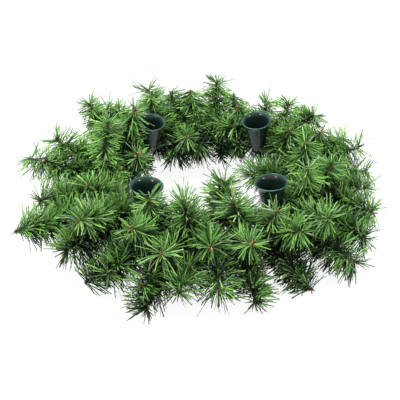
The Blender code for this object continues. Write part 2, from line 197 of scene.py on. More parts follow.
# Tips whose needles lie otherwise than most, by azimuth and distance. Each has the sweep of its needles
# from the tip's direction, how much less that is at the tip itself, their length and number as shares,
# and the way they are combed: the further a needle points against it, the likelier it is left out. A
# tip whose sweep isn't less at the tip has neater needles and no tuft.
TIP_STYLES = {
    (206, 185): (118, -14, 1.0, 1.15, (0, 0, 0)),
    (218, 153): (92, 10, 1.05, 1.9, (-1.0, 0, 0.6)),
    (230, 157): (108, 0, 0.9, 1.3, (0, 0, 0.3)),
    (236, 147): (100, 5, 1.0, 1.2, (0, 0, -0.9)),
    (252, 154): (88, 8, 1.14, 1.6, (-2.6, 0, 0.2)),
    (306, 152): (100, -32, 0.95, 1.2, (-0.3, 0, 0)),
    (321, 163): (92, 14, 1.08, 1.4, (-0.4, 0, -0.9)),
    (177, 172): (102, 8, 1.0, 1.1, (0, 0, -1.2)),
    (286, 146): (96, 5, 1.02, 1.4, (0.9, 0, 0.8)),
    (262, 151): (98, 10, 1.0, 1.0, (0, 0, 0.7)),
    (274, 144): (92, 25, 1.05, 1.0, (0, 0, -0.8)),
    (272, 123): (94, 15, 0.95, 0.7, (0.5, 0, 1.0)),
    (255, 137): (96, 20, 0.95, 0.45, (0, 0, 0.7)),
    (250, 148): (98, 10, 0.9, 1.0, (0.3, 0, -0.7)),
    (222, 140): (96, 15, 0.95, 1.0, (0.5, 0, 0.6)),
    (242, 127): (98, 5, 0.9, 0.7, (0.6, 0, 1.2)),
    (286, 131): (96, 15, 0.85, 0.5, (0.2, 0, 0.4)),
    (98, 72): (72, 25, 1.05, 2.6, (0, 0, -0.3)),
    (117, 73): (72, 25, 1.05, 2.6, (0, 0, -0.3)),
    (66, 74): (84, 20, 0.72, 2.4, (0, 0, 0)),
    (151, 74): (92, 20, 0.68, 2.0, (0, 0, 0.3)),
    (145, 86): (100, 10, 1.05, 1.5, (0.9, -0.7, -0.5)),
    (110, 60): (95, 15, 0.8, 0.85, (0.5, 0, -0.2)),
    (288, 50): (84, 20, 0.98, 1.5, (-0.3, 0, 0.5)),
    (78, 72): (95, 15, 0.5, 2.6, (0, 0, 0.3)),
    (15, 46): (66, 25, 1.0, 1.3, (-0.5, 0, 1.7)),
    (313, 127): (100, 10, 0.9, 1.0, (0, 0, 1.2)),
    (339, 159): (100, 10, 0.9, 1.0, (0, 0, 0.3)),
    (331, 160): (96, 10, 1.08, 1.0, (0, 0, 0.3)),
    (257, 85): (78, 35, 1.0, 1.2, (0, 0, 0)),
    (286, 82): (84, 30, 1.0, 1.1, (0, 0, 0)),
    (30, 125): (95, 20, 1.0, 1.2, (0, 0, 0.5)),
    (76, 122): (112, 0, 0.74, 1.2, (-0.7, 0, 0)),
    (70, 97): (102, 0, 0.85, 1.2, (0, 0, 0)),
    (147, 145): (100, 10, 0.86, 1.2, (0, 0, 0)),
    (85, 128): (98, 10, 0.95, 1.4, (-0.8, 0, 0)),
    (99, 118): (112, 0, 0.95, 1.3, (0, 0, 0)),
    (108, 132): (104, 0, 0.85, 1.2, (0, 0, 0)),
}

# The other tips draw theirs from ranges. Inner tips have shorter needles, and the low ones that carry
# the ring longer and more.
NEEDLE_SWEEP = (92, 114)
TIP_SWEEP = (5, 45)
PULL_SPREAD = 0.5
PULL_UP = 0.6
OUTER_REACH = 130 * MM
UPPER_SIZE = 0.88
LOW_HEIGHT = 36 * MM
LOW_SIZE = 1.1
LOW_NUMBER = 1.45

# The sprays' roots, a quarter of the ring for each group less an arc beside each cup, and their hooks
# round the frame's wires: how far the hook stands off, how much nearer it is over and under the wires,
# and how high.
GROUP_START = {"right": 318, "back": 48, "left": 138, "front": 228}
QUARTER = 90
CUP_ARC = 7.5
HOOK_RADIUS = 0.9 * MM
HOOK_SLACK = 0.4 * MM
HOOK_NARROWING = 0.5
HOOK_RISE = 0.87
INNER_MARGIN = 4 * MM
STEM_BOW = 0.4

# The fine needles. They stand in rows that wind round the stem, because they are cut from strips of
# film and twisted into the wire. Neighbours in a row form bunches that lie alike.
STEM_POINTS = 24
STEM_STEP = 0.5 * MM
NEEDLES_PER_METRE = 13000
NEEDLE_START = 0.06
NEEDLE_LENGTH = (20 * MM, 26 * MM)
ROWS = 8
ROW_PITCH = 21 * MM
BUNCH_SIZE = 5
BUNCH_TURN = 30
BUNCH_SWEEP = 20
NEAT_SWEEP = 7
BUNCH_SHRINK = 0.38
NEEDLE_TURN = 7
SWEEP_WANDER = 9

# The slow sway of the sweep along a stem, with its wave's phases in radians, and the reach from the tip
# back of the tip's own sweep and of the combing.
SWEEP_SWAY = 12
SWAY_LENGTH = 11 * MM
SWAY_ROW_SHIFT = 1.7
SWAY_STARTS = 6
TIP_REACH = 9 * MM
TIP_THINNING = 0.65
COMB_REACH = 40 * MM

# One needle: its width and how far that varies, the roll of its flat side in radians, and its bends
# across and along its width and under its weight, as shares of its length.
NEEDLE_WIDTH = 0.98 * MM
WIDTH_SHARES = (0.75, 1.1)
NEEDLE_THICKNESS = 0.3 * MM
THICKNESS_LEAST = 0.6
NEEDLE_ROLL = 0.7
NEEDLE_BEND = 0.15
NEEDLE_SIDE_BEND = 0.09
NEEDLE_DROOP = 0.05

# The tuft of loose needles at a tip, the brown scraps round it, the few brown needles on the stem and
# the few long thin ones.
END_SHARE = 0.03
END_START = 0.96
END_SWEEP = (35, 90)
END_LENGTH = (9 * MM, 17 * MM)
BROWN_COUNT = 11
BROWN_REACH = 3.5 * MM
BROWN_LENGTH = (1.6 * MM, 4.5 * MM)
BROWN_SWEEP = (30, 110)
BROWN_TONE = (0.45, 1)
BROWN_WIDTH = 1.25
BROWN_STRAY_SHARE = 0.0015
BROWN_STRAY_CUT = 0.6
WILD_SHARE = 0.015
WILD_STRETCH = (1.15, 1.45)
WILD_WIDTH = 0.6

# Needles that hit a cup are turned, by up to so many radians, and swept anew a few times before they
# are left out, and those that leave the model's box are cut short.
HIT_TRIES = 6
HIT_TURN = 1
HIT_SWEEP = (80, 150)
BOX_MARGIN = 0.6 * MM
LEAST_LENGTH_SHARE = 0.05
TINY = 1e-9

# Each needle's tone, from dark to pale: the shape of the bunches' beta distribution, and how far a
# needle differs from its bunch.
TONE_SHAPE = (1.1, 1.4)
TONE_SPREAD = 0.16

# The seed of a tip's random draws is made from its root's azimuth and its number in the spray.
SEED_PER_DEGREE = 10
SEED_PER_TIP = 7

# A wire steeper than this share of straight up takes its sides from +X in place of +Z.
STEEP = 0.9

# The twisted wire inside each spray.
STRAND_RADIUS = 0.5 * MM
STRAND_OFFSET = 0.42 * MM
STRAND_PITCH = 5 * MM
STRAND_STEP = 1.4 * MM
STRAND_SIDES = 5

# How deep a needle lies, which the needles' colour paints as shade: the size of the cells it is found
# in, how many cells are summed and left free round the foliage, the count that dims the light to about
# a third, and the percentile of light that counts as open. Light comes from straight up and from rings
# of directions, each with its angle over the table and its weight. The table takes some of it from the
# lowest foliage, and less further up, which paints more shade there.
DEPTH_CELL = 4 * MM
DEPTH_STEPS = 12
DEPTH_MARGIN = 2
DEPTH_COUNT = 75
DEPTH_OPEN = 94
SKY_TOP_WEIGHT = 5.0
SKY_RINGS = ((40, 0.25), (64, 1.2))
SKY_STEP = 45
LOW_SHADE = 0.3
LOW_SHADE_TOP = 60 * MM

# The loop of spare wire: its middle as distance, azimuth and height, its plane and its radii, and the
# points of its two legs as shares of the loop's radius.
LOOP_PLACE = (99 * MM, 65.6, 70 * MM)
LOOP_TURN = -3
LOOP_RADIUS = 4.1 * MM
LOOP_WIRE = 0.45 * MM
LOOP_SIDES = 8
LOOP_STEP = 0.6 * MM
LOOP_FIRST_LEG = [(-0.8, -2.2), (-1.0, -0.9)]
LOOP_BOW_POINTS = 13
LOOP_LAST_LEG = [(0.95, -0.7), (0.7, -1.6)]

# The frame's mesh. A tie swells towards its welds.
WIRE_SIDES = 10
RING_STEPS = 144
TIE_POINTS = 9
TIE_SWELL = 0.35
TIE_SWELL_POWER = 4

# The needles and the twisted wire share a mesh, by these places in its list of materials.
NEEDLE_SLOT = 0
WIRE_SLOT = 1

# The camera, as fitted to the cups' mouths: its place from the ring's axis, and where it points. Its
# lens and sensor are in millimetres.
CAMERA_PLACE = Vector((0, -0.4752, 0.3777))
CAMERA_AIM = Vector((-0.01009, 0.79246, -0.60984))
CAMERA_LENS = 54
CAMERA_SENSOR = 36
CAMERA_NEAREST = 0.01

# The studio: the floor's half width and how far it lies under the ring, the sky's strength, and the
# lights by place, aim, width and power in watts.
FLOOR_REACH = 8
FLOOR_GAP = 0.2 * MM
SKY_STRENGTH = 1.0
LIGHTS = {
    "top": ((-0.1, 0.2, 0.67), (0, 0.1, 0.03), 0.5, 8.5),
    "key": ((-0.7, -0.5, 1.1), (0, 0.05, 0.03), 0.6, 2.2),
    "fill": ((0.9, -0.4, 0.8), (0, 0.05, 0.03), 0.9, 0.4),
    "left_window": ((-0.75, -0.75, 0.62), (0, 0, 0.07), 0.2, 4.0),
    "right_window": ((0.85, -0.5, 0.58), (0, 0, 0.07), 0.2, 3.4),
}

low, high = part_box("frame_wires")
AXIS = Vector(((low.x + high.x) / 2, (low.y + high.y) / 2, 0))


def polar(radius, azimuth, height):
    """The point at that distance from the ring's axis, azimuth in degrees and height."""
    angle = math.radians(azimuth)
    return AXIS + Vector((radius * math.cos(angle), radius * math.sin(angle), height))


def new_object(name, data):
    """A mesh, light or camera in the scene."""
    made = bpy.data.objects.new(name, data)
    bpy.context.scene.collection.objects.link(made)
    return made


def mesh_of(shape, name):
    """The mesh of what bmesh made."""
    mesh = bpy.data.meshes.new(name)
    shape.to_mesh(mesh)
    shape.free()
    return mesh


def keep_evaluated(thing):
    """Replaces the object's mesh with what its modifiers make of it."""
    bpy.context.view_layer.update()
    graph = bpy.context.evaluated_depsgraph_get()
    mesh = bpy.data.meshes.new_from_object(thing.evaluated_get(graph))
    thing.modifiers.clear()
    thing.data = mesh


# Materials


class Nodes:
    """A short way to write a material's nodes."""

    def __init__(self, name):
        self.material = bpy.data.materials.new(name)
        self.material.use_nodes = True
        self.tree = self.material.node_tree
        self.shader = self.tree.nodes["Principled BSDF"]

    def add(self, kind, **settings):
        node = self.tree.nodes.new(kind)
        for key, value in settings.items():
            setattr(node, key, value)
        return node

    def link(self, source, target):
        self.tree.links.new(source, target)

    def attribute(self, name):
        return self.add("ShaderNodeAttribute", attribute_name=name).outputs["Fac"]

    def noise(self, scale, detail, stretch=(1, 1, 1)):
        place = self.add("ShaderNodeTexCoord")
        mapping = self.add("ShaderNodeMapping")
        mapping.inputs["Scale"].default_value = stretch
        noise = self.add("ShaderNodeTexNoise")
        noise.inputs["Scale"].default_value = scale
        noise.inputs["Detail"].default_value = detail
        self.link(place.outputs["Object"], mapping.inputs["Vector"])
        self.link(mapping.outputs["Vector"], noise.inputs["Vector"])
        return noise.outputs["Fac"]

    def ramp(self, value, stops):
        """A colour or grey from that value. Each stop is (position, colour) or (position, grey)."""
        ramp = self.add("ShaderNodeValToRGB")
        elements = ramp.color_ramp.elements
        while len(elements) < len(stops):
            elements.new(1)
        for element, (position, colour) in zip(elements, stops):
            element.position = position
            element.color = (*colour, 1) if isinstance(colour, tuple) else (colour,) * 3 + (1,)
        self.link(value, ramp.inputs["Fac"])
        return ramp.outputs["Color"]

    def mix(self, share, first, second):
        mix = self.add("ShaderNodeMix", data_type="RGBA")
        for socket, value in (
            (mix.inputs["Factor"], share),
            (mix.inputs["A"], first),
            (mix.inputs["B"], second),
        ):
            self.put(socket, value)
        return mix.outputs["Result"]

    def put(self, socket, value):
        if isinstance(value, bpy.types.NodeSocket):
            self.link(value, socket)
        elif isinstance(value, tuple):
            socket.default_value = (*value, 1)
        else:
            socket.default_value = value

    def bump(self, height, strength, distance):
        bump = self.add("ShaderNodeBump")
        bump.inputs["Strength"].default_value = strength
        bump.inputs["Distance"].default_value = distance
        self.link(height, bump.inputs["Height"])
        self.link(bump.outputs["Normal"], self.shader.inputs["Normal"])

    def set(self, **values):
        for key, value in values.items():
            self.put(self.shader.inputs[key.replace("_", " ")], value)


def needle_material():
    """Cut film needles: each has its own green, some are pale or yellow, and the strays are brown.
    Shade is painted into the green: darker towards each needle's root, and darker deep in the foliage."""
    made = Nodes("pine_needles")
    tone = made.attribute("tone")
    green = made.ramp(
        tone,
        [
            (0.0, (0.036, 0.095, 0.028)),
            (0.3, (0.088, 0.215, 0.048)),
            (0.6, (0.168, 0.390, 0.072)),
            (0.85, (0.225, 0.450, 0.092)),
            (1.0, (0.288, 0.388, 0.214)),
        ],
    )
    # Painted shade: each needle darkens towards its root, where its own spray shades it.
    root = made.ramp(made.attribute("along"), [(0.0, 0.85), (0.55, 0.0)])
    root_shaded = made.mix(root, green, (0.006, 0.022, 0.005))
    dry = made.ramp(
        tone, [(0.0, (0.08, 0.03, 0.015)), (0.6, (0.30, 0.10, 0.04)), (1.0, (0.50, 0.26, 0.15))]
    )
    coloured = made.mix(made.attribute("brown"), root_shaded, dry)
    # Painted shade: needles deep in the foliage, and low near the table, darken towards near black.
    shade = made.ramp(
        made.attribute("deep"), [(0.04, 0.0), (0.135, 0.26), (0.27, 0.7), (0.44, 0.93), (0.65, 0.99)]
    )
    made.set(Base_Color=made.mix(shade, coloured, (0.003, 0.009, 0.003)))
    made.set(Roughness=made.ramp(shade, [(0.0, 0.4), (0.6, 0.85)]), Specular_IOR_Level=0.25)
    made.bump(made.noise(900, 1.0), 0.15, 0.2 * MM)
    return made.material


def stem_material():
    """The twisted wire: dark green paint with brown film caught between its strands."""
    made = Nodes("stem_wire")
    caught = made.ramp(made.noise(260, 3.0), [(0.42, 0.0), (0.58, 1.0)])
    made.set(Base_Color=made.mix(caught, (0.03, 0.05, 0.02), (0.12, 0.055, 0.025)))
    made.set(Roughness=0.6, Metallic=0.15)
    made.bump(made.noise(1500, 2.0), 0.3, 0.2 * MM)
    return made.material


def frame_material():
    """The frame's green coat, a little paler and duller where it is worn."""
    made = Nodes("green_wire_coat")
    wear = made.ramp(made.noise(120, 4.0), [(0.3, 0.0), (0.8, 1.0)])
    made.set(Base_Color=made.mix(wear, (0.012, 0.05, 0.03), (0.03, 0.10, 0.06)))
    made.set(Roughness=made.ramp(wear, [(0.0, 0.28), (1.0, 0.45)]))
    made.bump(made.noise(700, 2.0), 0.1, 0.1 * MM)
    return made.material


def cup_material():
    """Very dark green moulded plastic, glossy, with faint flow marks, fine dust, a painted highlight
    along its lip and a matt floor."""
    made = Nodes("cup_gloss_plastic")
    flow = made.noise(90, 3.0, stretch=(1, 1, 0.25))
    dust = made.ramp(made.noise(1200, 2.0), [(0.62, 0.0), (0.75, 0.25)])
    base = made.ramp(flow, [(0.2, (0.006, 0.0145, 0.0105)), (0.8, (0.008, 0.0225, 0.0165))])
    dusty = made.mix(dust, base, (0.015, 0.045, 0.035))
    gloss = made.ramp(flow, [(0.2, 0.08), (0.8, 0.13)])
    # A painted highlight: the lip is coloured paler than the rest of the cup.
    made.set(Base_Color=made.mix(made.attribute("lip_highlight"), dusty, (0.02, 0.068, 0.05)))
    made.set(Roughness=made.mix(made.attribute("matt"), gloss, (0.9, 0.9, 0.9)))
    made.set(Specular_IOR_Level=0.36)
    made.bump(flow, 0.08, 0.4 * MM)
    return made.material


def floor_material():
    """Pale and plain, with a light of its own that leaves only a faint shadow."""
    made = Nodes("studio_floor")
    made.set(Base_Color=(0.12, 0.12, 0.12), Roughness=0.9, Specular_IOR_Level=0.0)
    made.set(Emission_Color=(1.0, 1.0, 1.0), Emission_Strength=0.9)
    return made.material


# The sprays' wires


def hook_corner(root_azimuth, side, level):
    """A corner of the hook round both wires. side is 1 outside and -1 inside the ring, and level is
    1 over the wires, 0 beside them and -1 under them."""
    reach = WIRE_RADIUS + WIRE_GAP + HOOK_RADIUS + HOOK_SLACK
    out = WIRE_SPACING / 2 + (reach if level == 0 else HOOK_NARROWING * reach)
    up = level * HOOK_RISE * reach
    return polar(FRAME_RADIUS + side * out, root_azimuth, FRAME_HEIGHT + up)


def hook_corners(root_azimuth, tips):
    """The hook's points from the first tip's end to the other end, as in the model."""
    away = -1 if tips[0][1] * MM > FRAME_RADIUS - INNER_MARGIN else 1
    level = 1 if tips[0][2] * MM > FRAME_HEIGHT or len(tips) == 2 else -1
    walk = [(-away, level), (away, level), (away, 0), (away, -level), (-away, -level)]
    if len(tips) == 2 and (tips[1][1] * MM > FRAME_RADIUS) == (away > 0):
        walk = walk[:3]
    return [hook_corner(root_azimuth, side, height) for side, height in walk]


def stem_line(root, leaving, tip):
    """The stem's smooth line from the hook to its tip, as an array of points."""
    length = (tip - root).length
    direction = (leaving.normalized() + (tip - root).normalized()).normalized()
    knee = np.array(root + direction * (STEM_BOW * length))
    t = np.linspace(0, 1, STEM_POINTS)[:, None]
    return np.array(root) * (1 - t) ** 2 + knee * 2 * t * (1 - t) + np.array(tip) * t**2


def spray_lines(root_azimuth, tips):
    """The stem of each tip, root first, and the whole wire from one end to the other."""
    hook = hook_corners(root_azimuth, tips)
    ends = [polar(reach * MM, azimuth, height * MM) for azimuth, reach, height in tips]
    stems = [stem_line(hook[0], hook[0] - hook[1], ends[0])]
    if len(ends) == 2:
        stems.append(stem_line(hook[-1], hook[-1] - hook[-2], ends[1]))
    rest = [stems[1][1:]] if len(ends) == 2 else []
    return stems, np.concatenate([stems[0][::-1], np.array(hook[1:]), *rest])


def all_sprays():
    """Each spray's name, its root's azimuth and its tips."""
    found = []
    for group, members in SPRAYS.items():
        step = (QUARTER - 2 * CUP_ARC) / (len(members) - 1)
        for k, tips in enumerate(members):
            root_azimuth = GROUP_START[group] + CUP_ARC + k * step
            found.append((f"pine_spray_{group}_{k + 1:02d}", root_azimuth, tips))
    return found


def even_line(line, step):
    """The line again with points evenly spaced along it, and how far along each one is."""
    lengths = np.linalg.norm(np.diff(line, axis=0), axis=1)
    run = np.concatenate([[0], np.cumsum(lengths)])
    count = max(2, int(run[-1] / step) + 1)
    at = np.linspace(0, run[-1], count)
    return np.stack([np.interp(at, run, line[:, k]) for k in range(3)], axis=1), at


def side_vectors(directions):
    """Two unit vectors across each direction."""
    helper = np.where(np.abs(directions[:, 2:]) < STEEP, [[0.0, 0.0, 1.0]], [[1.0, 0.0, 0.0]])
    first = np.cross(directions, helper)
    first /= np.linalg.norm(first, axis=1)[:, None]
    return first, np.cross(directions, first)


def unit(vectors):
    """The vectors, each made one long."""
    return vectors / np.linalg.norm(vectors, axis=-1, keepdims=True)


class Shell:
    """Collects vertices, faces and values for one mesh."""

    def __init__(self):
        self.points, self.faces, self.values, self.materials = [], [], [], []
        self.count = 0

    def add(self, points, faces, tone=0.5, along=0.0, brown=0.0, material=0):
        """Adds an island or many. faces are lists of indices into points."""
        self.points.append(points)
        self.faces += [[k + self.count for k in face] for face in faces]
        self.materials += [material] * len(faces)
        value = np.zeros((len(points), 4))
        value[:, 0], value[:, 1], value[:, 2] = tone, along, brown
        self.values.append(value)
        self.count += len(points)

    def build(self, name, materials):
        mesh = bpy.data.meshes.new(name)
        mesh.from_pydata(np.concatenate(self.points).tolist(), [], self.faces)
        values = np.concatenate(self.values).astype(np.float32)
        for k, key in enumerate(("tone", "along", "brown", "deep")):
            attribute = mesh.attributes.new(key, "FLOAT", "POINT")
            attribute.data.foreach_set("value", np.ascontiguousarray(values[:, k]))
        for item in materials:
            mesh.materials.append(item)
        mesh.polygons.foreach_set("material_index", self.materials)
        mesh.validate()
        mesh.update()
        return new_object(name, mesh)


def tube(shell, line, radius, sides, material=0, closed=False):
    """A round tube along the line: with flat ends, or closed in itself where the line is a ring."""
    if closed:
        directions = unit(np.roll(line, -1, axis=0) - np.roll(line, 1, axis=0))
    else:
        directions = unit(np.gradient(line, axis=0))
    first, second = side_vectors(directions)
    angles = np.arange(sides) * 2 * math.pi / sides
    ring = first[:, None] * np.cos(angles)[:, None] + second[:, None] * np.sin(angles)[:, None]
    points = line[:, None] + ring * np.broadcast_to(radius, len(line))[:, None, None]
    faces = []
    for k in range(len(line) if closed else len(line) - 1):
        here, after = k * sides, (k + 1) % len(line) * sides
        for j in range(sides):
            beside = (j + 1) % sides
            faces.append([here + j, here + beside, after + beside, after + j])
    if not closed:
        faces.append(list(range(sides))[::-1])
        faces.append([(len(line) - 1) * sides + j for j in range(sides)])
    shell.add(points.reshape(-1, 3), faces, material=material)


def twisted_wire(shell, line):
    """Two strands twisted round the line."""
    even, at = even_line(line, STRAND_STEP)
    first, second = side_vectors(unit(np.gradient(even, axis=0)))
    for strand in (0, math.pi):
        turn = (at / STRAND_PITCH * 2 * math.pi + strand)[:, None]
        offset = STRAND_OFFSET * (first * np.cos(turn) + second * np.sin(turn))
        tube(shell, even + offset, STRAND_RADIUS, STRAND_SIDES, WIRE_SLOT)


# The needles. Each has three-sided sections at these levels along it, as wide as these shares, and
# comes to a point at the last level.

NEEDLE_LEVELS = np.array([0.0, 0.5, 0.97, 1.0])
NEEDLE_WIDTHS = np.array([0.8, 1.0, 0.85])
NEEDLE_POINTS = 3 * len(NEEDLE_WIDTHS) + 1


def needle_faces():
    """The faces of one three-sided needle: its long sides, and its foot and point."""
    rings = len(NEEDLE_WIDTHS)
    faces = [[2, 1, 0]]
    for k in range(rings - 1):
        for j in range(3):
            a, b = 3 * k + j, 3 * k + (j + 1) % 3
            faces.append([a, b, b + 3, a + 3])
    last = 3 * (rings - 1)
    faces += [[last + j, last + (j + 1) % 3, last + 3] for j in range(3)]
    return np.array(faces[1:-3]), [faces[0]] + faces[-3:]


def needle_shapes(roots, headings, directions, lengths, widths, wander):
    """The points of all the needles, as (needle, point, 3), each a little curved. Their flat sides
    face round the stem, more or less."""
    count = len(roots)
    first = unit(directions - headings * (directions * headings).sum(1)[:, None])
    second = np.cross(headings, first)
    roll = wander.normal(0, NEEDLE_ROLL, (count, 1))
    across = first * np.cos(roll) + second * np.sin(roll)
    through = np.cross(headings, across)
    bend = through * wander.normal(0, NEEDLE_BEND, (count, 1))
    bend += across * wander.normal(0, NEEDLE_SIDE_BEND, (count, 1))
    bend[:, 2] -= NEEDLE_DROOP
    middles = [roots + (headings * at + bend * at**2) * lengths[:, None] for at in NEEDLE_LEVELS]
    points = np.empty((count, NEEDLE_POINTS, 3))
    for k, share in enumerate(NEEDLE_WIDTHS):
        half = across * (widths[:, None] * share / 2)
        thickness = NEEDLE_THICKNESS * (THICKNESS_LEAST + (1 - THICKNESS_LEAST) * share)
        points[:, 3 * k] = middles[k] - half
        points[:, 3 * k + 1] = middles[k] + half
        points[:, 3 * k + 2] = middles[k] + through * thickness
    points[:, -1] = middles[-1]
    return points


def cup_placement(azimuth, lean):
    """Where a cup stands, from its own axes, with its foot's middle at their origin."""
    place = Matrix.Translation(polar(CUP_FOOT_RADIUS, azimuth, CUP_FOOT_HEIGHT))
    turn = Matrix.Rotation(math.radians(azimuth), 4, "Z")
    return place @ turn @ Matrix.Rotation(math.radians(-lean), 4, "Y")


def hits_cup(roots, ends):
    """Which needles pass through a cup or the room that its candle needs."""
    hit = np.zeros(len(roots), bool)
    heights, radii = zip(*CUP_ROOM)
    for azimuth, lean in CUPS.values():
        inverse = cup_placement(azimuth, lean).inverted()
        turn, shift = np.array(inverse.to_3x3()), np.array(inverse.translation)
        for share in TEST_SHARES:
            local = (roots + (ends - roots) * share) @ turn.T + shift
            away = np.hypot(local[:, 0], local[:, 1])
            limit = np.interp(local[:, 2], heights, radii, left=0, right=0)
            hit |= away < limit + CUP_CLEARANCE * (limit > 0)
    return hit


def fit_in_box(roots, ends):
    """The share of each needle that stays in the model's box."""
    box_low, box_high = np.array(CAD_BOX[0]) + BOX_MARGIN, np.array(CAD_BOX[1]) - BOX_MARGIN
    reach = ends - roots
    reach[np.abs(reach) < TINY] = TINY
    room = np.where(reach > 0, (box_high - roots) / reach, (box_low - roots) / reach)
    return np.clip(room.min(axis=1), LEAST_LENGTH_SHARE, 1)


def drawn_style(tip, wander):
    """A style for the tip at that point, drawn from the ranges for its place. A tip with a style of its
    own draws one too, so that its other draws come in the same order."""
    outer = np.hypot(*(tip - np.array(AXIS))[:2]) > OUTER_REACH
    size, number = (1, 1) if outer else (UPPER_SIZE, 1)
    if tip[2] < LOW_HEIGHT:
        size, number = LOW_SIZE, LOW_NUMBER
    pull = (wander.normal(0, PULL_SPREAD), wander.normal(0, PULL_SPREAD), PULL_UP)
    return (wander.uniform(*NEEDLE_SWEEP), wander.uniform(*TIP_SWEEP), size, number, pull)


def add_needles(shell, roots, headings, directions, lengths, widths, tone, brown, wander):
    """Puts the needles into the shell's mesh."""
    points = needle_shapes(roots, headings, directions, lengths, widths, wander)
    np.clip(points, np.array(CAD_BOX[0]), np.array(CAD_BOX[1]), out=points)
    along = np.tile(np.append(np.repeat(NEEDLE_LEVELS[:-1], 3), 1.0), len(roots))
    quads, tris = needle_faces()
    offsets = np.arange(len(roots)) * NEEDLE_POINTS
    faces = (quads[None] + offsets[:, None, None]).reshape(-1, 4).tolist()
    faces += (np.array(tris)[None] + offsets[:, None, None]).reshape(-1, 3).tolist()
    tone, brown = np.repeat(tone, NEEDLE_POINTS), np.repeat(brown, NEEDLE_POINTS)
    shell.add(points.reshape(-1, 3), faces, tone, along, brown, NEEDLE_SLOT)


def brush(shell, line, seed, style=None):
    """The coat of one tip: dense rows of needles along the stem, a tuft at its end and short brown
    scraps round it. The style is one of TIP_STYLES, or else drawn."""
    wander = np.random.default_rng(seed)
    drawn = drawn_style(line[-1], wander)
    lean_back, tip_lean, size, fullness, comb = style or drawn
    even, at = even_line(line, STEM_STEP)
    length = at[-1]
    body = int(length * (1 - NEEDLE_START) * NEEDLES_PER_METRE * fullness)
    tuft = int(body * END_SHARE) if tip_lean > 0 else 0

    # Where along the stem each needle stands, in which row and bunch, and its turn round the stem.
    shares = np.concatenate(
        [
            NEEDLE_START + (1 - NEEDLE_START) * (np.arange(body) + 0.5) / body,
            wander.uniform(END_START, 1.0, tuft),
            1 - wander.uniform(0, BROWN_REACH, BROWN_COUNT) / length,
        ]
    )
    count = len(shares)
    row = np.arange(count) % ROWS
    bunch = row + ROWS * (np.arange(count) // (ROWS * BUNCH_SIZE))
    bunches = bunch.max() + 1
    turns = row * 360 / ROWS + shares * length * 360 / ROW_PITCH + wander.uniform(0, 360)
    turns += wander.normal(0, BUNCH_TURN, bunches)[bunch] + wander.normal(0, NEEDLE_TURN, count)
    turns[body:] = wander.uniform(0, 360, count - body)
    turns = np.radians(turns)

    # Its sweep from the stem's direction, its length, and whether it is brown.
    wave = shares[:body] * length / SWAY_LENGTH + row[:body] * SWAY_ROW_SHIFT
    sway = np.sin(wave + wander.uniform(0, SWAY_STARTS))
    near_tip = np.exp((shares[:body] - 1) * length / TIP_REACH)
    loose = BUNCH_SWEEP if tip_lean > 0 else NEAT_SWEEP
    lean = lean_back - tip_lean * near_tip
    lean += SWEEP_SWAY * sway + wander.normal(0, loose, bunches)[bunch[:body]]
    sweeps = np.concatenate(
        [
            lean + wander.normal(0, SWEEP_WANDER, body),
            wander.uniform(*END_SWEEP, tuft),
            wander.uniform(*BROWN_SWEEP, BROWN_COUNT),
        ]
    )
    shrink = 1 - wander.uniform(0, BUNCH_SHRINK, bunches)[bunch[:body]]
    lengths = np.concatenate(
        [
            wander.uniform(*NEEDLE_LENGTH, body) * shrink * size,
            wander.uniform(*END_LENGTH, tuft),
            wander.uniform(*BROWN_LENGTH, BROWN_COUNT),
        ]
    )
    brown = np.concatenate([np.zeros(body + tuft), np.ones(BROWN_COUNT)])
    brown[:body] = wander.random(body) < BROWN_STRAY_SHARE

    # Its root and heading, turned away from the cups.
    spot = shares * (len(even) - 1)
    index = np.clip(spot.astype(int), 0, len(even) - 2)
    roots = even[index] + (even[index + 1] - even[index]) * (spot - index)[:, None]
    directions = unit(even[index + 1] - even[index])
    first, second = side_vectors(directions)
    for attempt in range(HIT_TRIES):
        radial = first * np.cos(turns)[:, None] + second * np.sin(turns)[:, None]
        angle = np.radians(sweeps)[:, None]
        headings = directions * np.cos(angle) + radial * np.sin(angle)
        hit = hits_cup(roots, roots + headings * lengths[:, None])
        if not hit.any():
            break
        turns[hit] += wander.uniform(-HIT_TURN, HIT_TURN, hit.sum())
        sweeps[hit] = wander.uniform(*HIT_SWEEP, hit.sum())

    # Which needles stay: those clear of the cups, fewer near the tip and against the combing.
    keep = ~hit
    keep[:body] &= wander.random(body) > TIP_THINNING * near_tip
    against = -(headings @ np.array(comb)) * np.exp((shares - 1) * length / COMB_REACH)
    keep &= wander.random(count) > against

    # Tones, and the last trims of lengths and widths.
    tone = wander.beta(*TONE_SHAPE, bunches)[bunch] + wander.normal(0, TONE_SPREAD, count)
    tone[-BROWN_COUNT:] = wander.uniform(*BROWN_TONE, BROWN_COUNT)
    tone = np.clip(tone, 0, 1)
    kept = [values[keep] for values in (roots, headings, directions, lengths, tone, brown)]
    roots, headings, directions, lengths, tone, brown = kept
    lengths[:-BROWN_COUNT] *= 1 - BROWN_STRAY_CUT * brown[:-BROWN_COUNT]
    wild = wander.random(len(roots)) < WILD_SHARE
    lengths[wild] *= wander.uniform(*WILD_STRETCH, wild.sum())
    lengths *= fit_in_box(roots, roots + (headings + [0, 0, -NEEDLE_DROOP]) * lengths[:, None])
    widths = np.where(brown > 0, BROWN_WIDTH, 1.0) * NEEDLE_WIDTH
    widths = widths * wander.uniform(*WIDTH_SHARES, len(roots))
    widths[wild] *= WILD_WIDTH
    add_needles(shell, roots, headings, directions, lengths, widths, tone, brown, wander)


def pine_spray(root_azimuth, tips):
    """A spray's wire and needles."""
    stems, line = spray_lines(root_azimuth, tips)
    shell = Shell()
    twisted_wire(shell, line)
    for k, (stem, tip) in enumerate(zip(stems, tips)):
        seed = int(root_azimuth * SEED_PER_DEGREE) + SEED_PER_TIP * k
        brush(shell, stem, seed, TIP_STYLES.get(tip[:2]))
    return shell


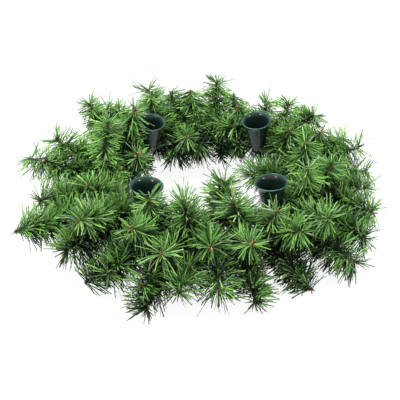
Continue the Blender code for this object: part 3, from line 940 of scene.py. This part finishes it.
def sky_directions():
    """Straight up, and round the compass at two heights, each with its share of the light."""
    found = [(np.array([0.0, 0.0, 1.0]), SKY_TOP_WEIGHT)]
    for climb, weight in SKY_RINGS:
        for turn in range(0, 360, SKY_STEP):
            flat = math.cos(math.radians(climb))
            along, aside = math.cos(math.radians(turn)), math.sin(math.radians(turn))
            direction = np.array([flat * along, flat * aside, math.sin(math.radians(climb))])
            found.append((direction, weight))
    whole = sum(weight for _, weight in found)
    return [(direction, weight / whole) for direction, weight in found]


def blurred(field):
    """The field averaged with its neighbours along each axis."""
    for axis in range(3):
        field = (np.roll(field, 1, axis) + 2 * field + np.roll(field, -1, axis)) / 4
    return field


def mark_depth(shells):
    """Gives every point of the sprays how deep it lies in the foliage, from 0 in the open to 1 in its
    middle, which the needles' colour paints as shade. The needles' points are counted in small cells,
    and the counts summed towards the sky."""
    points = np.concatenate([part for shell in shells for part in shell.points])
    cells = ((points - np.array(CAD_BOX[0])) / DEPTH_CELL).astype(int)
    pad = DEPTH_STEPS + DEPTH_MARGIN
    counts = np.zeros(cells.max(0) + 1 + 2 * pad)
    np.add.at(counts, tuple((cells + pad).T), 1)
    counts = blurred(counts)
    light = np.zeros(counts.shape)
    for direction, weight in sky_directions():
        total = np.zeros(counts.shape)
        for step in range(1, DEPTH_STEPS + 1):
            offset = np.round(direction * step).astype(int)
            total += np.roll(counts, tuple(-offset), (0, 1, 2))
        light += np.exp(-total / DEPTH_COUNT) * weight
    light = blurred(light)[tuple((cells + pad).T)]
    # Painted shade near the table: the lowest foliage gets less light.
    light *= 1 - LOW_SHADE * np.clip(1 - points[:, 2] / LOW_SHADE_TOP, 0, 1)
    deep = 1 - np.clip(light / np.percentile(light, DEPTH_OPEN), 0, 1)
    start = 0
    for shell in shells:
        for value in shell.values:
            value[:, 3] = deep[start : start + len(value)]
            start += len(value)


def pine_sprays(materials):
    """All the sprays, each a piece of its own."""
    sprays = {name: pine_spray(azimuth, tips) for name, azimuth, tips in all_sprays()}
    wire_loop(sprays["pine_spray_back_01"])
    mark_depth(list(sprays.values()))
    for name, shell in sprays.items():
        piece = shell.build(f"{name}_needles", materials)
        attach(piece, "root")
        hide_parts(name)


def wire_loop(shell):
    """The small loop of spare wire that stands up behind the back right cup."""
    middle = np.array(polar(*LOOP_PLACE))
    across, up = np.array(polar(1, LOOP_TURN, 0) - AXIS), np.array([0.0, 0.0, 1.0])
    bow = [(math.cos(a), math.sin(a)) for a in np.linspace(math.pi, 0.0, LOOP_BOW_POINTS)]
    shape = np.array(LOOP_FIRST_LEG + bow + LOOP_LAST_LEG)
    line = middle + LOOP_RADIUS * (shape[:, :1] * across + shape[:, 1:] * up)
    even, _ = even_line(line, LOOP_STEP)
    tube(shell, even, LOOP_WIRE, LOOP_SIDES, WIRE_SLOT)


# The frame and the cups


def frame_wires(finish):
    """The two round wires and the ties welded between them."""
    shell = Shell()
    for side in (-1, 1):
        radius = FRAME_RADIUS + side * WIRE_SPACING / 2
        angles = np.linspace(0, 360, RING_STEPS + 1)[:-1]
        ring = np.array([polar(radius, angle, FRAME_HEIGHT) for angle in angles])
        tube(shell, ring, WIRE_RADIUS, WIRE_SIDES, closed=True)
    first_cup = next(iter(CUPS.values()))[0]
    swell = 1 + TIE_SWELL * np.abs(np.linspace(-1, 1, TIE_POINTS)) ** TIE_SWELL_POWER
    for k in range(TIE_COUNT):
        azimuth = first_cup + (k + 0.5) * 360 / TIE_COUNT
        start = polar(FRAME_RADIUS - WIRE_SPACING / 2, azimuth, FRAME_HEIGHT)
        end = polar(FRAME_RADIUS + WIRE_SPACING / 2, azimuth, FRAME_HEIGHT)
        tube(shell, np.linspace(start, end, TIE_POINTS), TIE_RADIUS * swell, WIRE_SIDES)
    piece = shell.build("frame_wires_coated", [finish])
    piece.data.shade_smooth()
    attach(piece, "root")
    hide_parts("frame_wires")


def arc(centre, radius, start, end, steps):
    """Points of an arc in the cup's section, angles in degrees."""
    angles = np.radians(np.linspace(start, end, steps))
    return [(centre[0] + radius * math.cos(a), centre[1] + radius * math.sin(a)) for a in angles]


def cup_profile():
    """The cup's section from the lip down the outside and up again inside, with its round lip."""
    lip = 0.5 * CUP_WALL
    spread = CUP_MOUTH - CUP_NECK - lip
    halfway = (0.5 * (CUP_NECK + CUP_BASE), 0.5 * CUP_NECK_HEIGHT)
    neck_outside, neck_inside = CUP_NECK_ENDS
    outside = arc((CUP_MOUTH - lip, CUP_HEIGHT - lip), lip, 90, -60, 6)
    for out, up in CUP_FLARE:
        outside.append((CUP_NECK + spread * out, CUP_NECK_HEIGHT + CUP_FLARE_HEIGHT * up))
    outside.append((CUP_NECK, CUP_NECK_HEIGHT - neck_outside))
    outside.append(halfway)
    foot = (CUP_BASE + CUP_FOOT_LIFT - CUP_FOOT_FILLET, CUP_FOOT_LIFT + CUP_FOOT_FILLET)
    outside += arc(foot, CUP_FOOT_FILLET, 0, -90, 6)
    outside.append((0, CUP_FOOT_LIFT))
    inside = [(0, CUP_FLOOR)]
    corner = (CUP_BASE - CUP_WALL - CUP_FLOOR_FILLET, CUP_FLOOR + CUP_FLOOR_FILLET)
    inside += arc(corner, CUP_FLOOR_FILLET, -90, 0, 5)
    inside.append((halfway[0] - CUP_WALL, halfway[1]))
    inside.append((CUP_NECK - CUP_WALL, CUP_NECK_HEIGHT - neck_inside))
    for out, up in reversed(CUP_FLARE):
        height = CUP_NECK_HEIGHT + CUP_FLARE_HEIGHT * up + CUP_FLARE_LIFT
        inside.append((CUP_NECK - CUP_WALL + spread * out, height))
    return outside + inside


def cup_body(name):
    """The turned cup, made round +Z."""
    shape = bmesh.new()
    points = [shape.verts.new((radius, 0, height)) for radius, height in cup_profile()]
    for first, second in zip(points, points[1:] + points[:1]):
        if first.co.x > 0 or second.co.x > 0:
            shape.edges.new((first, second))
    cup = new_object(name, mesh_of(shape, name))
    turned = cup.modifiers.new("Screw", "SCREW")
    turned.axis = "Z"
    turned.steps = CUP_STEPS
    turned.render_steps = CUP_STEPS
    turned.use_merge_vertices = True
    turned.merge_threshold = 0.01 * MM
    keep_evaluated(cup)
    return cup


def box_mesh(name, matrix):
    """A cube of one metre, sized and placed by the matrix."""
    shape = bmesh.new()
    bmesh.ops.create_cube(shape, size=1, matrix=matrix)
    return new_object(name, mesh_of(shape, name))


def round_bar(name, start, end, radius):
    """A straight round bar between two points."""
    shape = bmesh.new()
    length = (end - start).length
    bmesh.ops.create_cone(
        shape, cap_ends=True, segments=BAR_SIDES, radius1=radius, radius2=radius, depth=length
    )
    mesh = mesh_of(shape, name)
    turn = (end - start).to_track_quat("Z", "Y").to_matrix().to_4x4()
    mesh.transform(Matrix.Translation((start + end) / 2) @ turn)
    return new_object(name, mesh)


def boolean(thing, operation, tool):
    """Joins the tool to the thing or cuts it out, and deletes it."""
    step = thing.modifiers.new(operation.title(), "BOOLEAN")
    step.operation = operation
    step.object = tool
    step.solver = "EXACT"
    keep_evaluated(thing)
    bpy.data.objects.remove(tool)


def cup_clip(azimuth):
    """The block under a cup with its edges rounded and a groove over each wire."""
    turn = Matrix.Rotation(math.radians(azimuth), 4, "Z")
    width = WIRE_SPACING + 2 * (WIRE_RADIUS + WIRE_GAP + CLIP_JAW)
    middle = polar(FRAME_RADIUS, azimuth, (CLIP_TOP + CLIP_BOTTOM) / 2)
    size = Matrix.Diagonal((width, CLIP_LENGTH, CLIP_TOP - CLIP_BOTTOM, 1))
    clip = box_mesh("clip", Matrix.Translation(middle) @ turn @ size)
    rounded = clip.modifiers.new("Bevel", "BEVEL")
    rounded.width = CLIP_ROUNDING
    rounded.segments = 2
    keep_evaluated(clip)
    along = turn @ Vector((0, CLIP_LENGTH, 0))
    groove = WIRE_RADIUS + WIRE_GAP
    for side in (-1, 1):
        centre = polar(FRAME_RADIUS + side * WIRE_SPACING / 2, azimuth, FRAME_HEIGHT)
        boolean(clip, "DIFFERENCE", round_bar("groove", centre - along, centre + along, groove))
        depth = FRAME_HEIGHT - CLIP_BOTTOM + groove
        low_middle = centre - Vector((0, 0, depth / 2))
        slot_size = Matrix.Diagonal((CLIP_SLOT_SHARE * groove, 2 * CLIP_LENGTH, depth, 1))
        slot = box_mesh("slot", Matrix.Translation(low_middle) @ turn @ slot_size)
        boolean(clip, "DIFFERENCE", slot)
    return clip


def mark_cup(cup):
    """Marks the cup's lip for its painted highlight and its floor inside as matt, for its material."""
    heights = np.array([v.co.z for v in cup.data.vertices])
    reaches = np.array([v.co.xy.length for v in cup.data.vertices])
    # The lip's band for its painted highlight.
    lip_highlight = (heights > CUP_HEIGHT - LIP_HIGHLIGHT_DEPTH) & (reaches > CUP_MOUTH - LIP_HIGHLIGHT_WIDTH)
    lowest, highest = MATT_HEIGHTS
    matt = (heights > lowest) & (heights < highest) & (reaches < MATT_REACH)
    for key, values in (("lip_highlight", lip_highlight), ("matt", matt)):
        attribute = cup.data.attributes.new(key, "FLOAT", "POINT")
        attribute.data.foreach_set("value", values.astype(np.float32))


def candle_cup(name, azimuth, lean, finish):
    """A cup and its clip, as one moulding."""
    cup = cup_body(f"{name}_moulded")
    mark_cup(cup)
    cup.data.transform(cup_placement(azimuth, lean))
    boolean(cup, "UNION", cup_clip(azimuth))
    cup.data.shade_smooth()
    cup.data.set_sharp_from_angle(angle=math.radians(SHARP_ANGLE))
    cup.data.materials.clear()
    cup.data.materials.append(finish)
    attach(cup, "root")
    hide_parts(name)


# The studio


def area_light(name, place, aim, size, power):
    """A square light that points from its place to its aim."""
    light = bpy.data.lights.new(name, "AREA")
    light.shape = "SQUARE"
    light.size = size
    light.energy = power
    holder = new_object(name, light)
    holder.location = place
    holder.rotation_euler = (Vector(aim) - Vector(place)).to_track_quat("-Z", "Y").to_euler()


def studio():
    """The floor, an even white sky and the lights."""
    shape = bmesh.new()
    bmesh.ops.create_grid(shape, x_segments=1, y_segments=1, size=FLOOR_REACH)
    floor = new_object("floor", mesh_of(shape, "floor"))
    floor.location = (0, 0, CAD_BOX[0].z - FLOOR_GAP)
    floor.data.materials.append(floor_material())
    world = bpy.data.worlds.new("studio")
    bpy.context.scene.world = world
    world.use_nodes = True
    background = world.node_tree.nodes["Background"]
    background.inputs["Color"].default_value = (1, 1, 1, 1)
    background.inputs["Strength"].default_value = SKY_STRENGTH
    for name, light in LIGHTS.items():
        area_light(name, *light)


def camera():
    """The camera, and plain colours in the picture."""
    made = bpy.data.cameras.new("camera")
    made.lens = CAMERA_LENS
    made.sensor_width = CAMERA_SENSOR
    made.clip_start = CAMERA_NEAREST
    holder = new_object("camera", made)
    holder.location = AXIS + CAMERA_PLACE
    holder.rotation_euler = CAMERA_AIM.to_track_quat("-Z", "Y").to_euler()
    bpy.context.scene.camera = holder
    bpy.context.scene.view_settings.view_transform = "Standard"


camera()
needle_finish = [needle_material(), stem_material()]
frame_wires(frame_material())
plastic = cup_material()
for cup_name, (cup_azimuth, cup_lean) in CUPS.items():
    candle_cup(cup_name, cup_azimuth, cup_lean, plastic)
pine_sprays(needle_finish)
studio()
